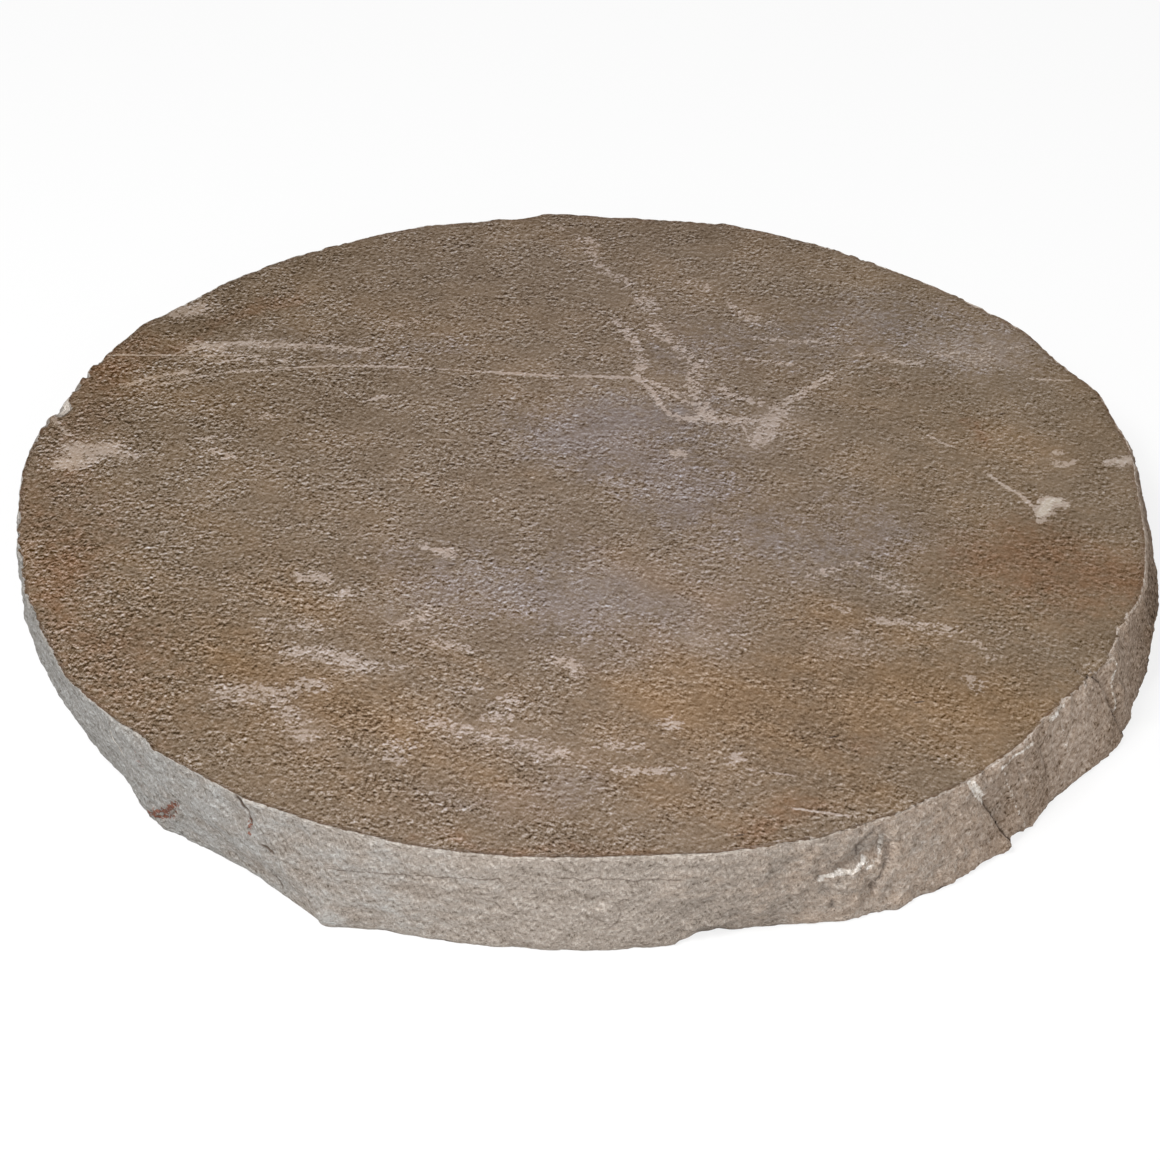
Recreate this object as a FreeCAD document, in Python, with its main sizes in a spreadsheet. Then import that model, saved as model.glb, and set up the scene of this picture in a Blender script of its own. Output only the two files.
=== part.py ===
import FreeCAD, Part
import math
import os
import Sketcher

# A round garden stepping stone: one slab of sandstone, split flat above and below, and dressed to a
# circle by chisel blows round its rim. Millimetres, +Z up. The bed, which lies on the ground, is at
# Z = 0, and the stone's axis is the Z axis. Bearings are degrees from +X, counted towards +Y.

# The driving sizes. The rows below add theirs, and each one becomes a cell of the sheet.
sizes = {
    "tread_radius": 200.0,  # nominal radius of the top face, which is walked on
    "thickness": 38.0,  # from the bed to the tread
    "waist_height": 20.0,  # where the flakes struck from above meet those struck from below
}

# One row for each chisel blow, in order round the rim. A blow starts at a ridge and leaves a scar that
# runs to the next ridge. The ridges stand at an even pitch, apart from their own drift.
#   drift     degrees that the ridge stands past its even place
#   tread     how far the ridge stands outside the nominal circle, at the top face
#   waist     how much further out it stands at the waist than at the top face
#   bed       how much further out it stands at the bed than at the top face
#   slant     degrees by which its foot lies past its head
#   hollow    how far the middle of the scar lies inside the round, at the top face and the waist
#   undercut  the same at the bed
# A row with both of these at zero is a stretch that was left round between two blows.
blow_columns = ("drift", "tread", "waist", "bed", "slant", "hollow", "undercut")
blow_rows = (
    (-3.0, -2.8, 6.3, 3.0, 2.0, -0.9, 1.0),
    (3.5, 3.2, 1.7, -4.5, -3.0, 2.4, 3.0),
    (2.0, 1.6, 2.5, -4.0, 2.0, 0.0, 0.0),
    (4.0, -2.0, 3.0, 1.0, -2.0, 0.0, 0.0),
    (2.0, -0.7, 1.0, -3.0, 3.0, 0.8, 2.5),
    (-2.0, 1.0, 0.5, -7.0, -4.0, 3.0, 3.5),
    (4.0, 0.9, 2.0, -2.0, 2.0, 2.2, 1.0),
    (3.0, 0.7, 1.0, 2.0, 4.0, 0.0, 0.0),
    (1.0, 0.3, 3.0, -1.0, -2.0, 0.0, 0.0),
    (-2.0, 1.7, 0.5, -6.0, 3.0, 1.8, 4.0),
    (-4.0, 3.1, -1.0, -9.0, -3.0, 0.8, 3.0),
    (0.0, 1.6, 0.5, -4.0, 2.0, 0.0, 0.0),
    (-3.0, 0.3, -0.3, -1.3, 0.0, 1.0, -2.5),
    (4.0, -1.4, -1.5, -5.6, 0.0, 1.2, 0.3),
    (3.0, 0.5, -4.0, -11.0, -1.0, 1.0, 2.0),
    (1.5, -0.2, -1.8, -4.8, -0.5, 1.0, 6.4),
    (-1.5, 0.0, 1.0, 3.0, 8.5, 0.2, 0.7),
    (-1.0, -0.4, 1.0, -0.7, -1.0, 0.0, 0.0),
    (3.0, -1.6, 1.0, 0.0, 5.0, -0.2, 4.6),
    (6.0, 3.0, 0.5, -1.0, 3.0, -0.4, -2.4),
    (7.5, 2.3, 0.7, 0.7, 5.0, -0.7, 0.8),
    (5.0, -2.2, 1.2, 2.7, 2.0, 0.9, 0.5),
    (0.5, 1.0, 3.0, 4.3, 3.0, 2.6, 1.5),
    (-4.0, -0.1, 4.0, 2.6, 2.0, 0.0, 0.0),
)
blow_pitch = 360.0 / len(blow_rows)

# The three outlines that the rim runs through: which columns a ridge adds to the nominal circle there,
# how much of its slant it has made, which column holds its scars, and the cell with the height.
outline_levels = {
    "bed": (("tread", "bed"), 1.0, "undercut", None),
    "waist": (("tread", "waist"), 0.5, "hollow", "waist_height"),
    "tread": (("tread",), 0.0, "hollow", "thickness"),
}

# Chips broken off the sharp edges of the top face and of the bed. Each is a shell-shaped scar, the
# hollow of a ball that bites into the edge from outside.
#   bearing   where it lies round the rim
#   rise      degrees above the horizon from which the ball comes in
#   ball      radius of the ball
#   bite      how deep it goes inside the nominal circle's edge, along its way in
chip_columns = ("bearing", "rise", "ball", "bite")
chip_rows = {
    "bed": (
        (281.8, -25.0, 20.0, 6.0),
        (314.3, -20.0, 15.0, 1.2),
        (140.0, -40.0, 75.0, 8.0),
        (69.0, -35.0, 80.0, 8.0),
        (22.0, -40.0, 60.0, 5.0),
    ),
    "tread": (
        (97.5, 30.0, 20.0, 2.5),
        (164.0, 35.0, 14.0, 2.2),
        (224.5, 15.0, 24.0, 2.4),
    ),
}


def row_cell(column, row):
    return f"{column}_{row:02d}"


def blow_cell(column, blow):
    return row_cell(column, blow % len(blow_rows))


def add_rows(prefix, columns, rows):
    for number, row in enumerate(rows):
        sizes.update({row_cell(prefix + column, number): value for column, value in zip(columns, row)})


def make_sheet(doc):
    sheet = doc.addObject("Spreadsheet::Sheet", "rim")
    for line, (name, value) in enumerate(sizes.items(), start=1):
        sheet.set(f"A{line}", name)
        sheet.set(f"B{line}", str(value))
        sheet.setAlias(f"B{line}", name)


# A radius or a bearing is a sum of weighted cells and plain numbers, kept as (weight, cell) pairs,
# where a plain number has no cell.
def number_of(terms):
    return sum(weight * (sizes[name] if name else 1.0) for weight, name in terms)


def formula_of(terms):
    return " + ".join(f"{weight} * rim.{name}" if name else f"{weight}" for weight, name in terms)


def ridge(level, blow):
    columns, slant_share = outline_levels[level][:2]
    radius = [(1.0, "tread_radius")] + [(1.0, blow_cell(column, blow)) for column in columns]
    bearing = [(blow_pitch * blow, None), (1.0, blow_cell("drift", blow))]
    return radius, bearing + [(slant_share, blow_cell("slant", blow))]


def scar_middle(level, blow):
    scar_column = outline_levels[level][2]
    both_ends = [first + second for first, second in zip(ridge(level, blow), ridge(level, blow + 1))]
    radius, bearing = ([(weight / 2, name) for weight, name in terms] for terms in both_ends)
    return radius + [(-1.0, blow_cell(scar_column, blow))], bearing


def left_round(blow):
    return sizes[blow_cell("hollow", blow)] == 0 and sizes[blow_cell("undercut", blow)] == 0


def point_of(place):
    radius, bearing = (number_of(terms) for terms in place)
    turn = math.radians(bearing)
    return FreeCAD.Vector(radius * math.cos(turn), radius * math.sin(turn), 0)


def pin_point(sketch, name, geometry, end, place):
    point = point_of(place)
    radius, bearing = (formula_of(terms) for terms in place)
    for way, function, number in (("X", "cos", point.x), ("Y", "sin", point.y)):
        constraint = Sketcher.Constraint("Distance" + way, geometry, end, number)
        constraint.Name = f"{name}_{way.lower()}"
        sketch.addConstraint(constraint)
        sketch.setExpression(f"Constraints.{constraint.Name}", f"({radius}) * {function}({bearing})")


def draw_outline(sketch, level):
    edges = []
    for blow in range(len(blow_rows)):
        start, middle, end = ridge(level, blow), scar_middle(level, blow), ridge(level, blow + 1)
        first, second, third = (point_of(place) for place in (start, middle, end))
        if left_round(blow):
            edge = sketch.addGeometry(Part.Arc(first, second, third), False)
            on_arc = sketch.addGeometry(Part.Point(second), True)
            sketch.addConstraint(Sketcher.Constraint("PointOnObject", on_arc, 1, edge))
            pin_point(sketch, blow_cell("middle", blow), on_arc, 1, middle)
            edges.append(edge)
        else:
            edge = sketch.addGeometry(Part.LineSegment(first, second), False)
            edges += [edge, sketch.addGeometry(Part.LineSegment(second, third), False)]
            pin_point(sketch, blow_cell("middle", blow), edge, 2, middle)
        pin_point(sketch, blow_cell("ridge", blow), edge, 1, start)
    for edge, following in zip(edges, edges[1:] + edges[:1]):
        sketch.addConstraint(Sketcher.Constraint("Coincident", edge, 2, following, 1))


def ground_plane(body):
    return next(plane for plane in body.Origin.OriginFeatures if plane.Role == "XY_Plane")


def make_outline(body, level):
    sketch = body.newObject("Sketcher::SketchObject", f"{level}_outline")
    sketch.AttachmentSupport = [(ground_plane(body), "")]
    sketch.MapMode = "FlatFace"
    height = outline_levels[level][3]
    if height:
        sketch.setExpression("AttachmentOffset.Base.z", f"rim.{height}")
    draw_outline(sketch, level)
    return sketch


def make_chip(body, level, number):
    cells = (row_cell(f"{level}_chip_{column}", number) for column in chip_columns)
    bearing, rise, ball, bite = (f"rim.{name}" for name in cells)
    height = outline_levels[level][3]
    edge_height = f"rim.{height}" if height else "0"
    way_in = f"({ball} - {bite})"
    reach = f"(rim.tread_radius + {way_in} * cos({rise}))"
    chip = body.newObject("PartDesign::SubtractiveSphere", f"{level}_chip_{number:02d}")
    chip.AttachmentSupport = [(ground_plane(body), "")]
    chip.MapMode = "FlatFace"
    chip.setExpression("Radius", ball)
    chip.setExpression("AttachmentOffset.Base.x", f"{reach} * cos({bearing})")
    chip.setExpression("AttachmentOffset.Base.y", f"{reach} * sin({bearing})")
    chip.setExpression("AttachmentOffset.Base.z", f"{edge_height} + {way_in} * sin({rise})")


def make_stone(doc):
    body = doc.addObject("PartDesign::Body", "stone")
    body.Label = "stepping_stone"
    outlines = [make_outline(body, level) for level in outline_levels]
    doc.recompute()
    slab = body.newObject("PartDesign::AdditiveLoft", "dressed_slab")
    slab.Profile = outlines[0]
    slab.Sections = outlines[1:]
    slab.Ruled = True
    doc.recompute()
    for level, rows in chip_rows.items():
        for number in range(len(rows)):
            make_chip(body, level, number)
            doc.recompute()
    return body


def check(doc, body):
    failed = [thing.Label for thing in doc.Objects if {"Invalid", "Error"} & set(thing.State)]
    if failed:
        raise RuntimeError(f"these failed to build: {failed}")
    if body.Shape.isNull() or not body.Shape.isValid() or len(body.Shape.Solids) != 1:
        raise RuntimeError(f"{body.Label} isn't one valid solid")


add_rows("", blow_columns, blow_rows)
for chipped_level, level_rows in chip_rows.items():
    add_rows(chipped_level + "_chip_", chip_columns, level_rows)

document = FreeCAD.newDocument("stepping_stone")
make_sheet(document)
document.recompute()
stone = make_stone(document)
check(document, stone)
os.makedirs("parts", exist_ok=True)
stone.Shape.exportStep(f"parts/{stone.Label}.step")
print("litres", round(stone.Shape.Volume / 1e6, 3), "faces", len(stone.Shape.Faces), stone.Shape.BoundBox)
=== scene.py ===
import math
import bpy
import numpy as np
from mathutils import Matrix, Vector
from mathutils.bvhtree import BVHTree


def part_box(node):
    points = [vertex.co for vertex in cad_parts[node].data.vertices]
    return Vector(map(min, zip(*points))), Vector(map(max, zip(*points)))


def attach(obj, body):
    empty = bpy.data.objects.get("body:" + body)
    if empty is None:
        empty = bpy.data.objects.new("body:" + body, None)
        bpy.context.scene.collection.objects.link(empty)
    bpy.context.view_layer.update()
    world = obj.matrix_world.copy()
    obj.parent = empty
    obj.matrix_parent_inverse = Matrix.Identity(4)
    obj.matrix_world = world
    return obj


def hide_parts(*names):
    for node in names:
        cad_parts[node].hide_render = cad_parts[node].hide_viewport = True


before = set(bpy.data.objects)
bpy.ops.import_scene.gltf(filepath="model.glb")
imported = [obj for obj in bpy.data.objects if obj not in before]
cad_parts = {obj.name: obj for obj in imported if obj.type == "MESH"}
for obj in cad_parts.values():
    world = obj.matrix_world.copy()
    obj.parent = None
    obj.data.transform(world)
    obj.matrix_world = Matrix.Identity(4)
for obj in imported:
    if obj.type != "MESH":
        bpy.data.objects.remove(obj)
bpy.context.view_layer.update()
mm = 0.001  # sizes in the dictionaries are millimetres and degrees
farOff = 1000.0  # stands for the distance to an edge that a point has nothing to do with
print("frame loaded", list(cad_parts))


# one output socket of a node tree: arithmetic on it adds Math nodes, anything else goes through add
class Wire:
    def __init__(self, tree, socket=None):
        self.tree = tree
        self.socket = socket

    def add(self, kind, settings=None, sockets=None, out=0):
        node = self.tree.nodes.new(kind)
        for name, value in (settings or {}).items():
            setattr(node, name, value)
        for name, value in (sockets or {}).items():
            if isinstance(value, Wire):
                self.tree.links.new(value.socket, node.inputs[name])
            else:
                node.inputs[name].default_value = value
        return Wire(self.tree, node.outputs[out] if len(node.outputs) else None)

    def math(self, operation, first, second=0.0):
        return self.add("ShaderNodeMath", {"operation": operation}, {0: first, 1: second})

    def __add__(self, other):
        return self.math("ADD", self, other)

    def __radd__(self, other):
        return self.math("ADD", other, self)

    def __sub__(self, other):
        return self.math("SUBTRACT", self, other)

    def __rsub__(self, other):
        return self.math("SUBTRACT", other, self)

    def __mul__(self, other):
        return self.math("MULTIPLY", self, other)

    def __truediv__(self, other):
        return self.math("DIVIDE", self, other)

    def __rtruediv__(self, other):
        return self.math("DIVIDE", other, self)

    def __abs__(self):
        return self.math("ABSOLUTE", self)

    def top(self, other):
        return self.math("MAXIMUM", self, other)

    # 0 below low, 1 above high, smooth between
    def rise(self, low, high):
        ends = {"Value": self, "From Min": low, "From Max": high}
        return self.add("ShaderNodeMapRange", {"interpolation_type": "SMOOTHSTEP"}, ends)


def easeBetween(value, low, high):
    share = np.clip((value - low) / (high - low), 0, 1)
    return share * share * (3 - 2 * share)


# the stone's mesh: rings of points from the middle of the tread, out over the rim and in under the bed,
# each point lying on the CAD solid
stoneMesh = {
    "columns": 1280,  # round the rim, about 1 mm apart, halved again and again towards the middle
    "rimRows": 38,  # down the rim
    "edgeRings": (0.4, 1.0, 1.8, 2.8, 4.0, 5.6, 7.6),  # in from the upper edge
    "footRings": (0.8, 2.4, 5.0),  # in from the lower edge
    "treadStep": 2.25,
    "bedStep": 4.6,
    "edgeRound": 2.2,  # how far from an edge the surface starts to turn
}


def castRim(cad, columns, heights):
    tree = BVHTree.FromPolygons([v.co for v in cad.data.vertices], [p.vertices for p in cad.data.polygons])
    turns = np.arange(columns) * 2 * math.pi / columns
    ways = [Vector((math.cos(t), math.sin(t), 0)) for t in turns]
    reach = [[tree.ray_cast(Vector((0, 0, z)), way)[3] for way in ways] for z in heights]
    return turns, np.array(reach)


def columnsAt(radius, step, most):
    fewest, tightest = 5, 0.68  # columns, and their spacing as a share of the step
    count = most
    while count > fewest and 2 * math.pi * radius / count < tightest * step:
        count //= 2
    return count


def facesBetween(first, second):
    faces = []
    n, m = len(first), len(second)
    if m == 1:
        faces = [(first[j], second[0], first[(j + 1) % n]) for j in range(n)]
    elif n == 1:
        faces = [(first[0], second[j], second[(j + 1) % m]) for j in range(m)]
    elif n == m:
        faces = [(first[j], second[j], second[(j + 1) % n], first[(j + 1) % n]) for j in range(n)]
    elif n > m:
        for j in range(m):
            a, b, c = first[2 * j], first[2 * j + 1], first[(2 * j + 2) % n]
            d, e = second[j], second[(j + 1) % m]
            faces += [(a, d, b), (b, d, e), (b, e, c)]
    else:
        for j in range(n):
            a, b, c = second[2 * j], second[2 * j + 1], second[(2 * j + 2) % m]
            d, e = first[j], first[(j + 1) % n]
            faces += [(a, b, d), (b, e, d), (b, c, e)]
    return faces


# rings over one flat face, from its edge to its middle: distances in from the edge, then even steps
def faceRings(edge, nearEdge, step, columns):
    rings = []
    count = columns
    for gap in nearEdge:
        wanted = columnsAt(edge.mean() - gap * mm, gap * mm * 0.45, columns)
        count = max(wanted, count // 2)
        rings.append((gap, edge[:: columns // count] - gap * mm))
    inner = edge - nearEdge[-1] * mm
    steps = round(inner.mean() / (step * mm))
    for k in range(1, steps):
        share = 1 - k / steps
        count = max(columnsAt(inner.mean() * share, step * mm, columns), count // 2)
        gap = nearEdge[-1] + step * k
        rings.append((gap, inner[:: columns // count] * share))
    return rings + [(nearEdge[-1] + step * steps, np.zeros(1))]


def buildStone(cad, sizes):
    low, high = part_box(cad.name)
    skin = 0.05 * mm  # keeps the casts off the flat faces
    drops = np.linspace(0, 1, sizes["rimRows"] + 1)
    heights = high.z + (low.z - high.z) * drops
    turns, reach = castRim(cad, sizes["columns"], np.clip(heights, low.z + skin, high.z - skin))
    columns = sizes["columns"]
    rings = []  # radius at each column, height, distance from the upper edge, distance from the lower edge
    for gap, radius in reversed(faceRings(reach[0], sizes["edgeRings"], sizes["treadStep"], columns)):
        rings.append((radius, high.z, -gap, farOff))
    for row, z in zip(reach, heights):
        rings.append((row, z, (high.z - z) / mm, (z - low.z) / mm))
    for gap, radius in faceRings(reach[-1], sizes["footRings"], sizes["bedStep"], columns):
        rings.append((radius, low.z, farOff, -gap))
    points, faces, fromTop, fromFoot, numbers = [], [], [], [], []
    for radius, z, topGap, footGap in rings:
        around = turns[:: columns // len(radius)][: len(radius)]
        start = len(fromTop)
        ring = [radius * np.cos(around), radius * np.sin(around), np.full(len(radius), z)]
        points.append(np.stack(ring, 1))
        fromTop += [topGap] * len(radius)
        fromFoot += [footGap] * len(radius)
        numbers.append(list(range(start, start + len(radius))))
    for first, second in zip(numbers, numbers[1:]):
        faces += facesBetween(first, second)
    return np.concatenate(points), faces, np.array(fromTop), np.array(fromFoot)


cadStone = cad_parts["stepping_stone"]
points, faces, fromTop, fromFoot = buildStone(cadStone, stoneMesh)
print("stone mesh", len(points), "points", len(faces), "faces")

# which way each point gives way when stone is taken off: inwards on the rim, down on the tread
onRim = np.minimum(easeBetween(fromTop, -stoneMesh["edgeRound"], stoneMesh["edgeRound"]),
                   easeBetween(fromFoot, -stoneMesh["edgeRound"], stoneMesh["edgeRound"]))
bearing = np.degrees(np.arctan2(points[:, 1], points[:, 0])) % 360
radial = np.stack([np.cos(np.radians(bearing)), np.sin(np.radians(bearing)), np.zeros(len(points))], 1)
upright = np.where(fromTop < farOff, 1.0, -1.0)
upright[(fromTop < farOff) & (fromFoot < fromTop)] = -1.0
outward = radial * onRim[:, None] + np.stack([0 * upright, 0 * upright, upright * (1 - onRim)], 1)
outward /= np.linalg.norm(outward, axis=1)[:, None]

# marks on the rim, as bearing and height: a groove is cut along the path, a step sets back what lies to the
# left of it, looking along the path from outside, and fades with distance; dark is painted shade along the
# crack
rimMarks = (
    {"path": ((313.0, 0.0), (311.4, 10.4), (310.4, 16.3), (309.7, 21.0), (309.1, 24.8)),
     "half": 0.9, "groove": 0.8, "step": 2.2, "fade": 26.0},
    {"path": ((308.9, 26.0), (307.5, 33.0), (306.7, 37.5)), "half": 0.6, "groove": 0.5, "dark": 0.3},
    {"path": ((312.8, 2.0), (311.4, 10.4), (310.4, 16.3), (309.7, 21.0), (309.1, 24.8)),
     "half": 0.85, "dark": 0.75},
    {"path": ((307.3, 35.2), (308.0, 31.0), (308.8, 26.9)), "half": 1.7, "pale": 1.6},
    {"path": ((315.3, 1.0), (313.2, 18.4), (311.9, 32.2)), "half": 0.9, "groove": -0.7, "pale": 0.28},
    {"path": ((313.9, 32.1), (315.4, 17.1), (316.3, 4.4)), "half": 0.9, "groove": 0.7, "dark": 0.25},
    {"path": ((317.6, 29.9), (319.3, 16.1), (319.9, 4.6)), "half": 0.8, "groove": 0.7, "dark": 0.2},
    {"path": ((321.7, 28.9), (322.6, 17.0)), "half": 0.9, "groove": -0.5, "pale": 0.22},
    {"path": ((295.8, 22.4), (295.0, 21.4), (294.2, 20.6), (293.3, 20.6), (292.4, 20.9), (291.6, 20.4)),
     "half": 0.8, "groove": -0.4, "step": 2.0, "fade": 12.0, "pale": 0.75},
    {"path": ((297.7, 30.0), (297.7, 25.7), (297.6, 23.2), (297.2, 21.3), (296.2, 19.4)),
     "half": 0.9, "step": 2.0, "fade": 12.0, "pale": 0.35},
    {"path": ((297.1, 35.3), (295.8, 33.3), (295.3, 29.2), (295.3, 25.3)),
     "half": 0.9, "groove": 1.6, "dark": 0.4},
    {"path": ((292.3, 15.2), (292.9, 7.9)), "half": 1.0, "groove": 1.2, "dark": 0.35},
    {"path": ((298.3, 26.9), (298.2, 18.3), (296.9, 13.4), (296.9, 8.4)),
     "half": 0.9, "groove": 1.2, "step": 1.6, "fade": 10.0, "dark": 0.35},
    {"path": ((333.2, 1.0), (331.6, 8.5), (329.8, 20.9), (328.9, 30.7), (327.2, 37.8)),
     "half": 0.7, "groove": 0.9, "step": 2.0, "fade": 9.0, "dark": 0.85},
    {"path": ((330.8, 38.0), (330.6, 24.8), (330.8, 13.8)), "half": 0.6, "groove": -1.4, "pale": 0.4},
    {"path": ((237.8, 36.6), (238.6, 33.8)), "half": 1.1, "groove": 0.9, "dark": 1.0},
    {"path": ((239.0, 30.8), (239.1, 29.6)), "half": 1.1, "groove": 0.6, "dark": 0.9},
    {"path": ((240.6, 22.0), (241.2, 21.0)), "half": 1.1, "groove": 0.6, "dark": 0.9},
    {"path": ((240.6, 11.0), (241.1, 8.8), (241.6, 5.0)), "half": 0.7, "groove": 0.5, "dark": 0.6},
    {"path": ((247.3, 21.9), (252.1, 25.1), (257.6, 27.7), (263.0, 29.3)),
     "half": 0.5, "groove": 0.3, "dark": 0.5},
    {"path": ((268.2, 30.2), (273.5, 29.0), (278.7, 28.6)), "half": 0.5, "groove": 0.3, "dark": 0.5},
    {"path": ((273.1, 19.5), (273.6, 16.4), (273.3, 12.2), (272.6, 9.7)),
     "half": 0.6, "groove": 0.5, "dark": 0.4},
    {"path": ((223.8, 2.0), (226.0, 8.0), (227.6, 12.0), (229.2, 18.6)), "half": 1.1, "rust": 1.0},
    {"path": ((225.3, 5.1), (227.4, 8.1), (228.9, 14.1)), "half": 0.8, "rust": 0.9, "dark": 0.5},
    {"path": ((239.0, 29.5), (238.8, 24.6)), "half": 0.9, "rust": 0.65},
    {"path": ((224.1, 31.6), (224.8, 26.2)), "half": 0.9, "groove": 0.3, "rust": 0.55},
    {"path": ((162.4, 36.6), (165.0, 36.4)), "half": 1.7, "pale": 0.9},
    {"path": ((220.2, 29.5), (221.5, 23.4)), "half": 0.9, "groove": -0.4, "pale": 0.9},
    {"path": ((319.7, 35.6), (321.8, 35.8)), "half": 1.6, "groove": 0.4, "pale": 0.55},
    {"path": ((311.4, 34.6), (313.5, 35.2), (315.7, 34.8)), "half": 1.8, "pale": 0.36},
)
# bearing, height, half sizes and strength of the stretches where the break is rough or fluted
roughPatches = (
    (294.5, 22.0, 18.0, 16.0, 1.3), (227.0, 10.0, 14.0, 9.0, 0.7), (283.0, 6.0, 18.0, 7.0, 0.6),
    (301.0, 4.0, 30.0, 8.0, 0.8), (304.0, 15.0, 22.0, 20.0, 0.4), (120.0, 16.0, 40.0, 16.0, 0.6),
    (35.0, 14.0, 45.0, 14.0, 0.6), (175.0, 20.0, 30.0, 12.0, 0.5),
)
flutedPatches = (
    (321.0, 20.0, 24.0, 30.0, 1.0), (334.0, 20.0, 14.0, 30.0, 0.6), (80.0, 20.0, 40.0, 30.0, 0.6),
)
# the same for swellings of the foot, in millimetres, and for stretches of painted light and shade that are
# lighter or darker
swells = (
    (224.0, 2.0, 11.0, 14.0, 1.1), (247.5, 2.0, 12.0, 14.0, 1.1), (297.5, 2.0, 14.0, 14.0, 1.6),
    (306.5, 2.0, 9.0, 14.0, 1.2), (313.5, 2.0, 10.0, 12.0, 3.2), (330.0, 2.0, 10.0, 14.0, 1.4),
    (341.0, 4.0, 20.0, 20.0, 1.4),
)
rimShadingTones = (
    (324.0, 19.0, 24.0, 30.0, 0.08), (317.0, 14.0, 8.0, 22.0, -0.2), (313.0, 12.0, 9.0, 16.0, -0.2),
    (330.6, 12.0, 5.0, 16.0, -0.3), (346.0, 19.0, 30.0, 40.0, -0.6), (2.0, 19.0, 90.0, 60.0, -0.42),
    (299.0, 19.0, 24.0, 30.0, 0.19), (284.0, 19.0, 22.0, 30.0, -0.06),
)
# bearing, half width in degrees and strength of the stretches where the upper edge is frayed
frayedEdges = (
    (296.0, 9.0, 1.0), (308.0, 6.0, 0.7), (326.0, 13.0, 0.8), (192.0, 12.0, 0.6), (162.0, 8.0, 0.9),
    (60.0, 40.0, 0.12), (120.0, 40.0, 0.1),
)
nominalRadius = 200
perDegree = math.radians(1) * nominalRadius  # millimetres of rim


# signed offset from the nearest stretch of a path, distance past its ends, and true distance
def pathOffsets(across, along, path):
    best = np.full(len(across), 1e9)
    offset = np.zeros(len(across))
    past = np.zeros(len(across))
    for (x0, y0), (x1, y1) in zip(path, path[1:]):
        length = math.hypot(x1 - x0, y1 - y0)
        ux, uy = (x1 - x0) / length, (y1 - y0) / length
        run = (across - x0) * ux + (along - y0) * uy
        side = (across - x0) * uy - (along - y0) * ux
        over = np.maximum(np.maximum(-run, run - length), 0)
        distance = np.hypot(side, over)
        nearer = distance < best
        best = np.where(nearer, distance, best)
        offset = np.where(nearer, side, offset)
        past = np.where(nearer, over, past)
    return offset, past, best


def markRim():
    rim = np.flatnonzero((fromTop > -6) & (fromTop < farOff) & (fromFoot > -3))
    names = ("recess", "rust", "rough", "fluted", "frayed", "swell", "tone")
    found = {name: np.zeros(len(points)) for name in names}
    z = points[rim, 2] / mm
    stepHalf, stepFull, endFade = 0.4, 1.0, 3.0  # where a step rises, where its fade starts, how it ends
    for mark in rimMarks:
        start = mark["path"][0][0]
        run = ((bearing[rim] - start + 180) % 360 - 180) * perDegree
        path = [((b - start) * perDegree, h) for b, h in mark["path"]]
        side, past, distance = pathOffsets(run, z, path)
        near = np.exp(-(distance / mark["half"]) ** 2)
        found["recess"][rim] += mark.get("groove", 0) * near
        if "step" in mark:
            fade = 1 - easeBetween(side, stepFull, mark["fade"])
            behind = easeBetween(side, -stepHalf, stepHalf) * fade
            found["recess"][rim] += mark["step"] * behind * np.exp(-(past / endFade) ** 2)
        found["rust"][rim] = np.maximum(found["rust"][rim], mark.get("rust", 0) * near)
    stretches = {"rough": roughPatches, "fluted": flutedPatches, "swell": swells, "tone": rimShadingTones}
    for name, patches in stretches.items():
        for place, height, halfRun, halfRise, strength in patches:
            run = ((bearing[rim] - place + 180) % 360 - 180) * perDegree
            spread = (run / halfRun) ** 2 + ((z - height) / halfRise) ** 2
            amount = strength * np.exp(-spread)
            found[name][rim] = np.where(np.abs(amount) > np.abs(found[name][rim]), amount, found[name][rim])
    found["recess"] -= found["swell"]
    for place, half, strength in frayedEdges:
        turn = ((bearing - place + 180) % 360 - 180) / half
        fray = strength * np.exp(-(turn ** 2)) * (np.abs(fromTop) < 8)
        found["frayed"] = np.maximum(found["frayed"], fray)
    return found


rimSigns = markRim()
print("rim marks", len(rimMarks), "deepest", round(rimSigns["recess"].max(), 2), "mm")

# marks on the tread: half width, strength and path in millimetres from the middle.
# Scratches are thin and sharp, flakes are chalky and broken up, hazes are rubbed in
scratches = (
    (0.9, 1.2, ((-178, 91), (-123, 91))), (0.9, 1.0, ((-136, 100), (-118, 100), (-100, 98), (-90, 97))),
    (1.3, 0.8, ((-137, 86), (-123, 90))), (2.2, 0.8, ((-169, 70), (-158, 76), (-146, 79))),
    (1.2, 0.8, ((-161, 69), (-147, 74), (-132, 79), (-122, 80), (-110, 81))),
    (1.1, 1.0, ((-108, 82), (-94, 83), (-75, 83), (-64, 82))),
    (0.7, 0.7, ((-64, 82), (-53, 81), (-34, 79))), (1.3, 1.1, ((-34, 79), (-8, 76))),
    (1.4, 1.1, ((-2, 76), (20, 75))), (2.0, 0.9, ((21, 75), (26, 67), (29, 57), (33, 50), (38, 46))),
    (1.6, 1.0, ((-78, 60), (-72, 62))), (1.5, 0.9, ((-195, 49), (-187, 37))),
    (1.1, 1.1, ((146, 10), (150, 3), (155, -2), (159, -10))), (0.9, 0.8, ((168, 74), (182, 73))),
    (1.0, 0.8, ((127, 35), (132, 30))), (0.8, 0.8, ((65, -175), (74, -177), (85, -179))),
    (0.7, 0.6, ((53, -156), (66, -159))), (0.8, 0.9, ((59, 43), (62, 29))),
    (1.2, 0.6, ((64, 88), (82, 84))), (1.2, 0.6, ((-14, 193), (-7, 188))),
)
pits = (
    (108, 53), (155, 50), (-45, -46), (80, -140), (25, -37), (6, -35), (38, -36), (70, -77),
    (109, -122), (48, -188),
)
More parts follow.
